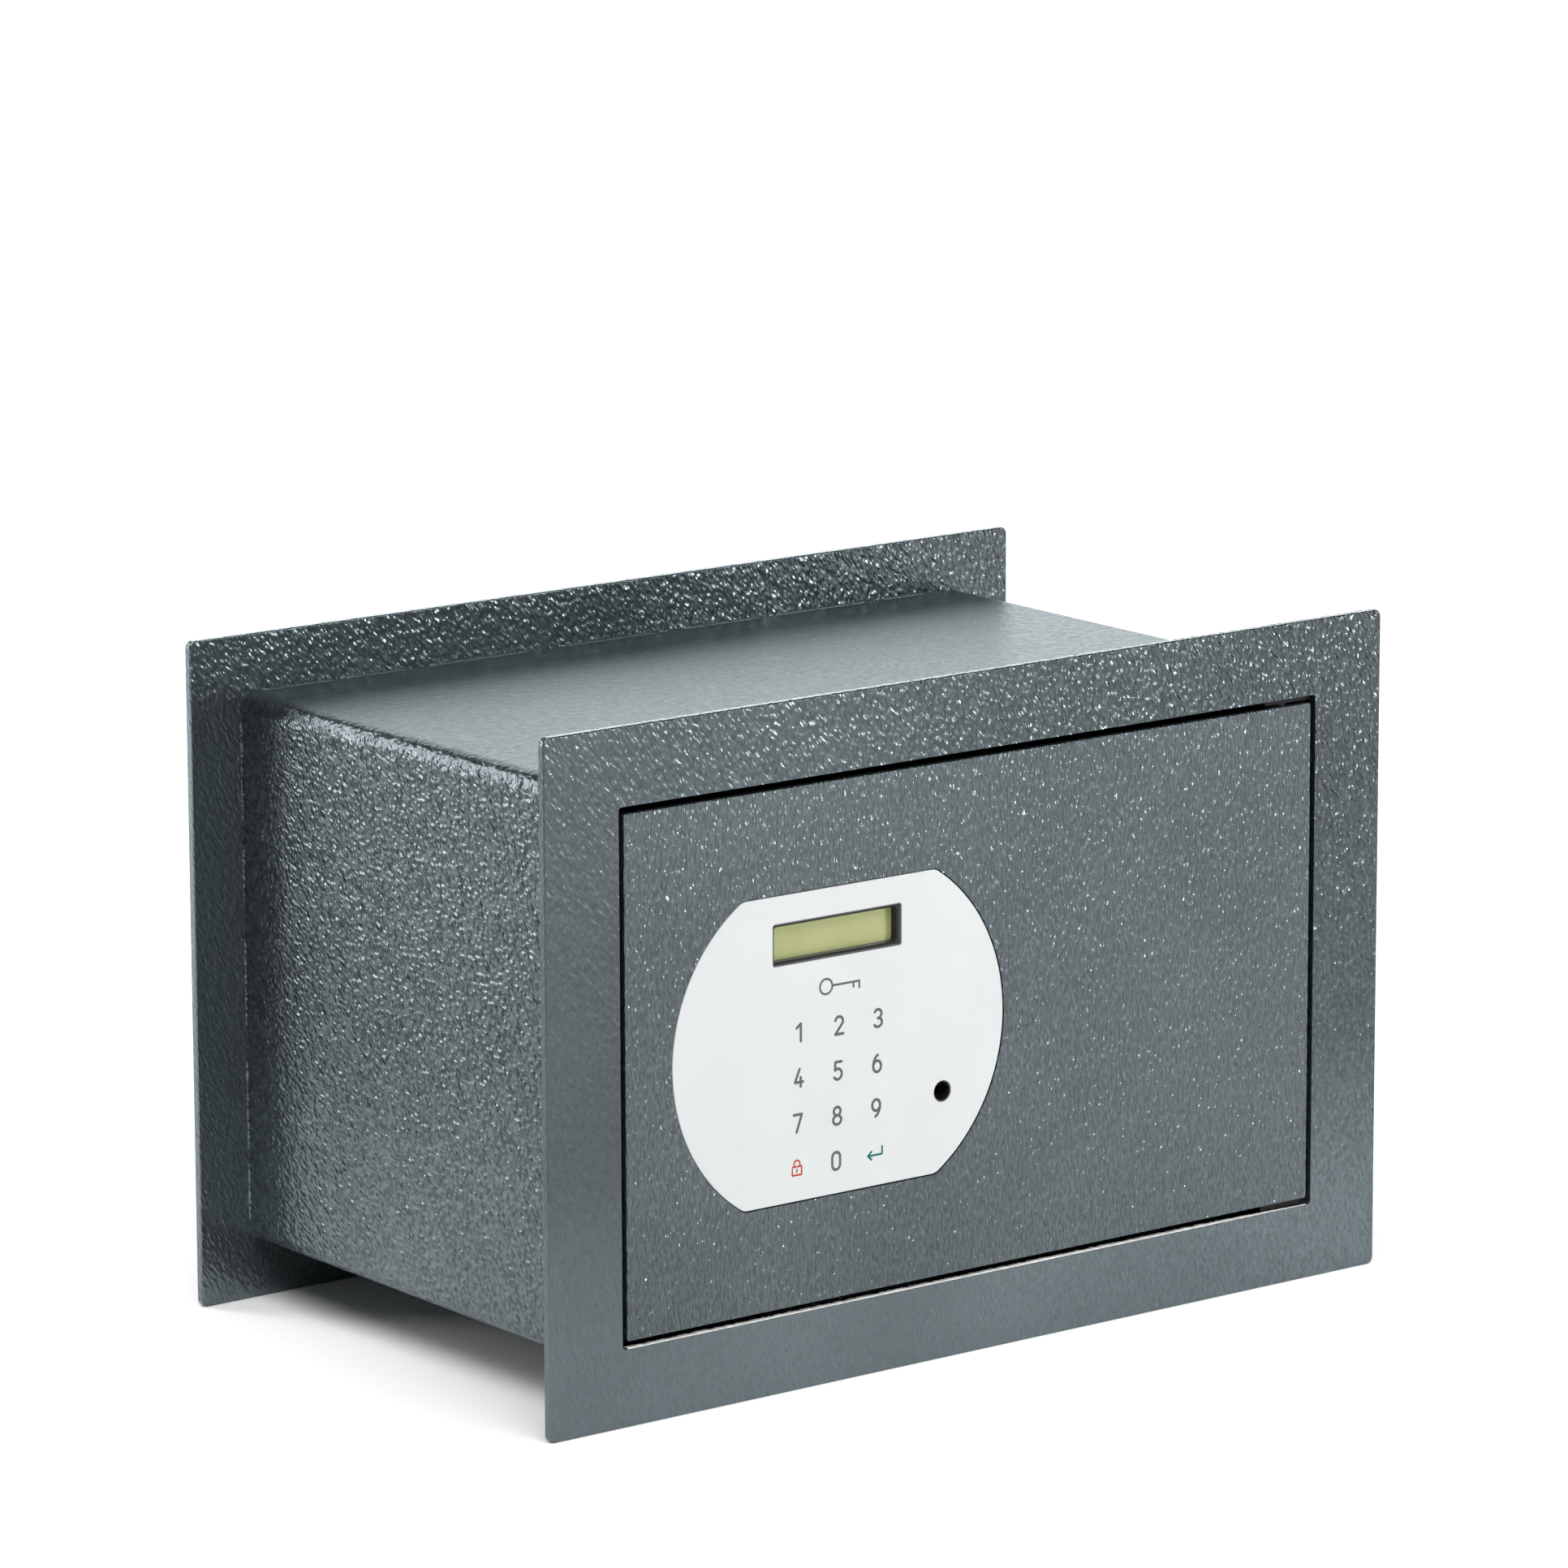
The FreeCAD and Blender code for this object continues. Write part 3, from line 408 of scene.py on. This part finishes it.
def circuit_board(name):
    """Green solder mask with raised tracks and small tinned pads."""
    m = Maker(name)
    grid = m.cells(1.0, feature="DISTANCE_TO_EDGE", vector=m.stretched((260.0, 40.0, 190.0)))
    tracks = m.spread(grid, 0.05, 0.08, 1.0, 0.0)
    dots = m.cells(1.0, vector=m.stretched((330.0, 40.0, 330.0)))
    pads = m.spread(dots, 0.13, 0.16, 1.0, 0.0)
    mask = m.mix(tracks, (0.006, 0.085, 0.035), (0.012, 0.15, 0.06))
    m.colour(m.mix(pads, mask, (0.62, 0.60, 0.56)))
    m.roughness(m.spread(m.noise(300.0), 0.3, 0.7, 0.25, 0.4))
    m.bump(m.math("ADD", tracks, pads), 0.00004)
    return m.material


def cell_wrap(name):
    """Battery sleeve: dark body with a copper-coloured band at one end."""
    m = Maker(name)
    split = m.node("ShaderNodeSeparateXYZ")
    m.link(m.coords, split.inputs["Vector"])
    band = m.spread(split.outputs["X"], 0.0995, 0.0997)
    body = m.mix(m.spread(m.noise(40.0), 0.3, 0.7), (0.010, 0.014, 0.024), (0.016, 0.022, 0.036))
    m.colour(m.mix(band, body, (0.46, 0.20, 0.07)))
    m.roughness(m.spread(m.noise(500.0), 0.3, 0.7, 0.2, 0.34))
    m.bump(m.noise(700.0), 0.00002)
    return m.material


def printed_ink(name, colour):
    m = Maker(name)
    dots = m.noise(3000.0, 2.0)
    low = tuple(part * 0.88 for part in colour)
    m.colour(m.mix(m.spread(dots, 0.3, 0.7), low, colour))
    m.roughness(m.spread(dots, 0.3, 0.7, 0.45, 0.6))
    m.set(specular_ior_level=0.2)
    return m.material


NODE_MATERIALS = {}
TOP_FACE = (0.2090, 0.2098)
TOP_BEND = (0.2030, 0.2070)


def dress(material, *names):
    for name in names:
        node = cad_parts[name]
        node.data.materials.clear()
        node.data.materials.append(material)
        NODE_MATERIALS[name] = material


def dress_frame():
    """One coat on every outer plate, with painted light and shade: the shade pairs of the fades make its
    colour lighter or darker by place to suit these lamps.
    """
    up = Vector((0.0, 0.0, 1.0))
    across = Vector((0.80, 0.0, 1.0))
    # Shade pairs are painted shade and light: the body side darker above its foot, the top lighter, the
    # front frame lighter at its foot and darker towards the upper right, the rear plate darker towards the
    # right, the door a little darker at the top.
    side_fade = (up, 0.02, 0.11, (0.65, 1.0), (0.98, 0.58))
    edge_fade = (up, *TOP_BEND, (1.0, 0.45), (1.0, 1.0))
    top_fade = (up, *TOP_FACE, (1.0, 0.60), (1.0, 1.25))
    frame_fade = (across, 0.0, 0.34, (0.35, 1.40), (1.0, 0.86))
    foot_fade = (up, 0.03, 0.085, (0.9, 1.0), (1.10, 0.67))
    rear_fade = (Vector((1.0, 0.0, 0.0)), -0.15, 0.15, (0.95, 1.15), (1.14, 0.72))
    band_fade = (Vector((1.0, 0.0, 0.35)), -0.107, -0.090, (0.60, 1.0), (1.0, 1.0))
    door_fade = (up, 0.03, 0.20, (1.30, 1.10), (1.0, 0.95))
    dress(powder_coat("coat_body", BODY_DRIFT, relief=1.3, grain=0.85, painted_shade_depth=0.40, sheen=0.24,
                      fades=(side_fade, edge_fade, top_fade), matte=(up, *TOP_FACE, 0.15)), "body_shell")
    dress(powder_coat("coat_rear", PLATE_DRIFT, relief=0.9, grain=1.2, painted_shade_depth=0.3,
                      fades=(rear_fade, band_fade)), "rear_plate")
    dress(powder_coat("coat_frame", PLATE_DRIFT, grain=1.1, painted_shade_depth=0.28,
                      fades=(frame_fade, foot_fade)), "front_frame")
    # shade=0.84 is painted shade: the door is a darker copy of the frame's coat.
    dress(powder_coat("coat_door", DOOR_DRIFT, shade=0.84, relief=1.45, grain=1.45, painted_shade_depth=0.26,
                      fades=(door_fade,)), "door_plate")
    dress(powder_coat("coat_inner", BODY_DRIFT, shade=0.8, relief=0.6), "door_pan", "inner_cover")
    # Near black: painted shade for the door gap; the hinge blocks are also black oxide steel.
    dress(moulded("bracket_black_gap_shade", (0.007, 0.007, 0.007), 0.7), "hinge_bracket_upper", "hinge_bracket_lower",
          "hinge_blocks")
    dress(felt("mat_felt"), "floor_mat")
    dress(plated_steel("oiled_steel", (0.30, 0.30, 0.29)), "hinge_pins", "output_shaft")
    zinc = plated_steel("zinc_sheet", (0.62, 0.63, 0.64), 0.34)
    dress(zinc, "bolt_carriage", "carriage_rack", "motor_bracket", "guide_posts")
    screws = plated_steel("zinc_screws", (0.60, 0.60, 0.58), 0.3, (700.0, 700.0, 700.0))
    dress(screws, "cover_screws", "bolt_screws", "post_clips", "rack_rivets", "motor_screws",
          "keypad_studs", "stud_nuts", "board_screws")
    dress(chrome_plate("bolt_chrome"), "bolt_upper", "bolt_lower")
    dress(plated_steel("gear_brass", (0.68, 0.49, 0.22), 0.3), "drive_pinion")
    dress(moulded("bush_black", (0.020, 0.020, 0.021), 0.5), "hinge_bushes", "bolt_guides")
    dress(moulded("gearbox_black", (0.022, 0.022, 0.024), 0.46), "gearbox_housing")
    dress(plated_steel("motor_steel", (0.55, 0.55, 0.53), 0.3), "motor_can")
    dress(moulded("end_cap_white", (0.62, 0.60, 0.55), 0.45), "motor_end_cap")
    dress(moulded("red_insulation", (0.36, 0.015, 0.012), 0.42), "motor_leads")
    dress(moulded("black_insulation", (0.014, 0.014, 0.015), 0.42), "battery_leads")
    dress(overlay_foil("keypad_foil"), "keypad_plate")
    dress(moulded("housing_grey", (0.045, 0.049, 0.053), 0.48), "keypad_housing", "housing_back")
    dress(bezel_plastic("bezel_grey"), "lcd_bezel")
    dress(display_cell("display_panel"), "lcd_module")
    dress(circuit_board("board_mask"), "keypad_board")
    dress(moulded("component_black", (0.016, 0.016, 0.017), 0.5), "board_components", "key_switches")
    plungers = [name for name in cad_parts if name.startswith("key_") and name != "key_switches"]
    dress(moulded("plunger_grey", (0.55, 0.55, 0.53), 0.5), *plungers)
    dress(moulded("socket_black", (0.012, 0.011, 0.010), 0.34), "power_socket")
    dress(moulded("tray_black", (0.026, 0.026, 0.028), 0.52), "battery_box", "battery_cover")
    dress(cell_wrap("cell_sleeve"), "battery_cells")
    dress(plated_steel("contact_nickel", (0.66, 0.64, 0.60), 0.25, (500.0, 500.0, 500.0)),
          "battery_springs", "battery_contacts")
    missing = set(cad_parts) - set(NODE_MATERIALS)
    assert not missing, missing


# ---- small mesh helpers --------------------------------------------------
def finish_mesh(name, bm, material, body, smooth_angle=35.0):
    mesh = bpy.data.meshes.new(name)
    bmesh.ops.recalc_face_normals(bm, faces=bm.faces[:])
    bm.to_mesh(mesh)
    bm.free()
    piece = bpy.data.objects.new(name, mesh)
    scene.collection.objects.link(piece)
    mesh.materials.append(material)
    mesh.shade_smooth()
    mesh.set_sharp_from_angle(angle=math.radians(smooth_angle))
    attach(piece, body)
    return piece


# ---- printing on the keypad ------------------------------------------------
PAD_LOW, PAD_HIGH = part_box("keypad_plate")
PAD_FACE = PAD_LOW.y
CAP_STEPS = 6
STROKE = 0.97 * MM
DIGIT_HIGH = 5.85 * MM
PRINT_LEAN = 0.030


def arc(cx, cy, rx, ry, start, end, steps=14):
    """Points of an elliptical arc; angles in degrees, counter-clockwise from +x."""
    points = []
    for step in range(steps + 1):
        angle = math.radians(start + (end - start) * step / steps)
        points.append((cx + rx * math.cos(angle), cy + ry * math.sin(angle)))
    return points


def rounded(points, radius, steps=5):
    """Polyline with each inner corner turned into a small arc."""
    out = [Vector(points[0])]
    for before, corner, after in zip(points, points[1:], points[2:]):
        corner = Vector(corner)
        back = Vector(before) - corner
        ahead = Vector(after) - corner
        reach = min(radius, back.length * 0.45, ahead.length * 0.45)
        first = corner + back.normalized() * reach
        last = corner + ahead.normalized() * reach
        for step in range(steps + 1):
            t = step / steps
            out.append(first * (1 - t) ** 2 + corner * 2 * t * (1 - t) + last * t * t)
    out.append(Vector(points[-1]))
    return [tuple(point) for point in out]


# Each glyph is a list of strokes on a grid 1 wide and 1.75 high; strokes meet with round ends.
TALL = 1.75
GLYPHS = {
    "1": [[(0.12, 1.36), (0.62, TALL)], [(0.62, TALL), (0.62, 0.0)]],
    "2": [arc(0.49, 1.27, 0.47, 0.48, 165, -30) + [(0.02, 0.0)], [(0.02, 0.0), (1.0, 0.0)]],
    "3": [arc(0.46, 1.31, 0.44, 0.44, 150, -90), arc(0.46, 0.44, 0.5, 0.44, 90, -150)],
    "4": [[(0.58, TALL), (0.02, 0.46)], [(0.02, 0.46), (1.0, 0.46)], [(0.72, 0.92), (0.72, 0.0)]],
    "5": [[(0.92, TALL), (0.16, TALL)], [(0.16, TALL), (0.11, 0.95)],
          arc(0.44, 0.53, 0.5, 0.53, 128, -145, 18)],
    "6": [arc(0.92, 0.62, 0.9, 1.16, 112, 178), arc(0.5, 0.56, 0.48, 0.56, 0, 360, 28)],
    "7": [[(0.0, TALL), (0.98, TALL)], [(0.98, TALL), (0.34, 0.0)]],
    "8": [arc(0.5, 1.33, 0.41, 0.42, 270, 630, 28), arc(0.5, 0.46, 0.49, 0.46, 90, 450, 28)],
    "9": [arc(0.08, 1.13, 0.9, 1.16, -68, -2), arc(0.5, 1.19, 0.48, 0.56, 0, 360, 28)],
    "0": [arc(0.5, TALL - 0.5, 0.48, 0.5, 0, 180) + arc(0.5, 0.5, 0.48, 0.5, 180, 360)
          + [(0.98, TALL - 0.5)]],
}


def ribbon(bm, path, width, face_y, thick):
    """Flat printed line with round ends: path is a list of (x, z) points."""
    line = [Vector(path[0])]
    for point in path[1:]:
        point = Vector(point)
        if (point - line[-1]).length > 1e-6:
            line.append(point)
    closed = (line[0] - line[-1]).length < 1e-5
    if closed:
        line.pop()
    count = len(line)
    pairs = []
    for index, point in enumerate(line):
        before = line[index - 1] if closed or index else line[0]
        after = line[(index + 1) % count] if closed or index + 1 < count else line[-1]
        along = (after - before).normalized()
        side = Vector((-along.y, along.x)) * (width / 2)
        pairs.append((point + side, point - side))

    def raised(p, y):
        return bm.verts.new((p.x, y, p.y))

    top = [(raised(a, face_y - thick), raised(b, face_y - thick)) for a, b in pairs]
    low = [(raised(a, face_y), raised(b, face_y)) for a, b in pairs]
    for i in range(count if closed else count - 1):
        j = (i + 1) % count
        bm.faces.new((top[i][0], top[j][0], top[j][1], top[i][1]))
        bm.faces.new((low[i][0], low[j][0], top[j][0], top[i][0]))
        bm.faces.new((top[i][1], top[j][1], low[j][1], low[i][1]))
    if closed:
        return
    for end, start in ((0, 1), (count - 1, 0)):
        centre = line[end]
        spoke = pairs[end][start] - centre
        rim_top, rim_low = [top[end][start]], [low[end][start]]
        for step in range(1, CAP_STEPS):
            angle = -math.pi * step / CAP_STEPS
            turned = Matrix.Rotation(angle, 2) @ spoke
            rim_top.append(raised(centre + turned, face_y - thick))
            rim_low.append(raised(centre + turned, face_y))
        rim_top.append(top[end][1 - start])
        rim_low.append(low[end][1 - start])
        bm.faces.new(rim_top)
        for i in range(CAP_STEPS):
            bm.faces.new((rim_top[i], rim_top[i + 1], rim_low[i + 1], rim_low[i]))


def printed(name, strokes, centre, size, material, width=STROKE):
    """Strokes on a unit grid, printed on the plate around a centre (x, z)."""
    bm = bmesh.new()
    for layer, stroke in enumerate(strokes):
        path = [(centre[0] + x * size, centre[1] + z * size) for x, z in stroke]
        ribbon(bm, path, width, PAD_FACE + 0.005 * MM, (0.025 + 0.004 * layer) * MM)
    return finish_mesh(name, bm, material, "door")


def key_centre(name):
    """Where a key is printed (x, z); the print is laid on slightly askew to the key rows."""
    low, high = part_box(name)
    middle = (low + high) / 2
    plate_middle = (PAD_LOW.z + PAD_HIGH.z) / 2
    return middle.x + (middle.z - plate_middle + 10 * MM) * PRINT_LEAN, middle.z


def print_keypad():
    ink = printed_ink("ink_grey", (0.105, 0.105, 0.112))
    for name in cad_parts:
        if not name.startswith("key_") or name[4:] not in GLYPHS:
            continue
        size = DIGIT_HIGH / TALL
        strokes = [[(x - 0.5, z - TALL / 2) for x, z in stroke] for stroke in GLYPHS[name[4:]]]
        printed("print_" + name[4:], strokes, key_centre(name), size, ink)
    print_symbols(ink)


def print_symbols(grey):
    red = printed_ink("ink_red", (0.43, 0.030, 0.012))
    green = printed_ink("ink_green", (0.0, 0.120, 0.090))
    padlock = [
        rounded([(-1.0, 0.2), (1.0, 0.2), (1.0, -1.3), (-1.0, -1.3), (-1.0, 0.2)], 0.1),
        [(-0.62, 0.2), (-0.62, 0.7)] + arc(0.0, 0.7, 0.62, 0.62, 180, 0) + [(0.62, 0.2)],
        [(0.0, -0.32), (0.0, -0.78)],
    ]
    x, z = key_centre("key_cancel")
    printed("print_lock", padlock, (x, z + 0.3 * MM), 1.9 * MM, red, 0.6 * MM)
    arrow = [
        rounded([(1.4, 0.9), (1.4, -0.3), (-1.3, -0.3)], 0.2),
        [(-0.7, 0.35), (-1.4, -0.3)],
        [(-0.7, -0.95), (-1.4, -0.3)],
    ]
    printed("print_enter", arrow, key_centre("key_confirm"), 2.1 * MM, green, 0.7 * MM)
    key = [
        arc(-2.6, 0.0, 1.15, 1.15, 0, 360, 32),
        [(-1.4, 0.0), (3.6, 0.0)],
        [(3.6, 0.0), (3.6, -1.0)],
        [(2.5, 0.0), (2.5, -0.75)],
    ]
    x, z = key_centre("key_2")
    printed("print_key", key, (x + 0.4 * MM, z + 13.7 * MM), 2.2 * MM, grey, 0.75 * MM)


# ---- weld seam at the end plates -------------------------------------------
WELD_RADIUS = 0.75 * MM
STITCH_LENGTH = (20, 48)
STITCH_GAP = (4, 13)
BODY_BEND = 6 * MM


def weld_seam():
    """Narrow coated-over welds, run in stitches where the body meets each end plate."""
    rng = random.Random(7)
    low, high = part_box("body_shell")
    bend = BODY_BEND
    sides = [
        (low.x + bend, high.z, high.x - bend, high.z),
        (low.x, high.z - bend, low.x, low.z + bend),
        (low.x + bend, low.z, high.x - bend, low.z),
        (high.x, low.z + bend, high.x, high.z - bend),
    ]
    middle = Vector((0, 0, (low.z + high.z) / 2))
    for end, plane, inward in (("rear", high.y, -1.0), ("front", low.y, 1.0)):
        bm = bmesh.new()
        for x0, z0, x1, z1 in sides:
            start, stop = Vector((x0, 0, z0)), Vector((x1, 0, z1))
            length = (stop - start).length
            along = (stop - start).normalized()
            outward = Vector((along.z, 0, -along.x))
            if outward.dot(start - middle) < 0:
                outward = -outward
            place = 3 * MM
            while place < length - 12 * MM:
                stitch = min(rng.uniform(*STITCH_LENGTH) * MM, length - place - 2 * MM)
                bead(bm, start + along * place, along, outward, plane, inward, stitch, rng)
                place += stitch + rng.uniform(*STITCH_GAP) * MM
        finish_mesh("weld_" + end, bm, NODE_MATERIALS["body_shell"], "cabinet", 60.0)


def bead(bm, start, along, outward, plane, inward, length, rng):
    """One stitch: a slightly rippled quarter round lying in the corner, with blunt ends."""
    steps = max(6, int(length / (0.9 * MM)))
    sides = 5
    rings = []
    for step in range(steps + 1):
        near_end = min(step, steps - step)
        swell = (0.45, 0.85, 1.0)[min(near_end, 2)]
        radius = WELD_RADIUS * swell * (1.0 + rng.uniform(-0.10, 0.10))
        centre = start + along * (length * step / steps)
        ring = []
        for side in range(sides + 1):
            angle = (math.pi / 2) * side / sides
            point = centre + outward * (radius * math.sin(angle))
            point.y = plane + inward * radius * math.cos(angle)
            ring.append(bm.verts.new(point))
        corner = centre - outward * 0.05 * MM
        corner.y = plane
        ring.append(bm.verts.new(corner))
        rings.append(ring)
    for first, second in zip(rings, rings[1:]):
        for i in range(len(first)):
            j = (i + 1) % len(first)
            bm.faces.new((first[i], first[j], second[j], second[i]))
    bm.faces.new(rings[0])
    bm.faces.new(list(reversed(rings[-1])))


# ---- painted highlight on the lower edge of the opening --------------------
DOOR_GAP = 2.5 * MM


def sill_edge():
    """Pale strip on the lower cut edge of the front plate: a painted highlight of the lit sill seen through
    the door gap.
    """
    rng = random.Random(11)
    frame_low, frame_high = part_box("front_frame")
    door_low, door_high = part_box("door_plate")
    left, right = door_low.x, door_high.x
    level = door_low.z - DOOR_GAP
    steps = int((right - left) / (1.1 * MM))
    bm = bmesh.new()
    rows = []
    for step in range(steps + 1):
        x = left + (right - left) * step / steps
        taper = min(1.0, (right - x) / (60 * MM) + 0.25)
        front = frame_low.y + (0.04 + rng.uniform(0.0, 0.22)) * MM
        back = front + (2.55 - rng.uniform(0.0, 0.7)) * MM * taper
        lift = level + (0.12 + rng.uniform(0.0, 0.30)) * MM * taper
        middle = (front + back) / 2
        rows.append([bm.verts.new(point) for point in (
            (x, front, level), (x, front, lift), (x, middle, lift + 0.03 * MM),
            (x, back, lift), (x, back, level))])
    for first, second in zip(rows, rows[1:]):
        for i in range(len(first) - 1):
            bm.faces.new((first[i], first[i + 1], second[i + 1], second[i]))
    # Pale matte colour standing in for light on the sill: a painted highlight.
    sill_highlight = moulded("sill_painted_highlight", (0.84, 0.83, 0.81), 0.45, 0.00006, 1400.0)
    finish_mesh("edge_sill", bm, sill_highlight, "cabinet", 50.0)


# ---- set -------------------------------------------------------------------
FLOOR_REACH = 14.0


def make_floor():
    bm = bmesh.new()
    bmesh.ops.create_grid(bm, x_segments=8, y_segments=8, size=FLOOR_REACH)
    mesh = bpy.data.meshes.new("floor")
    bm.to_mesh(mesh)
    bm.free()
    floor = bpy.data.objects.new("floor", mesh)
    scene.collection.objects.link(floor)
    m = Maker("floor_white")
    m.colour(m.mix(m.spread(m.noise(3.0), 0.3, 0.7), (0.93, 0.93, 0.93), (0.95, 0.95, 0.95)))
    m.roughness(m.spread(m.noise(40.0), 0.3, 0.7, 0.85, 0.95))
    mesh.materials.append(m.material)


def smooth_frame():
    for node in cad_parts.values():
        node.data.shade_smooth()
        node.data.set_sharp_from_angle(angle=math.radians(28.0))


make_world()
make_camera()
for lamp in LAMPS:
    make_light(*lamp)
make_floor()
dress_frame()
smooth_frame()
print_keypad()
weld_seam()
sill_edge()
scene.view_settings.view_transform = "Standard"
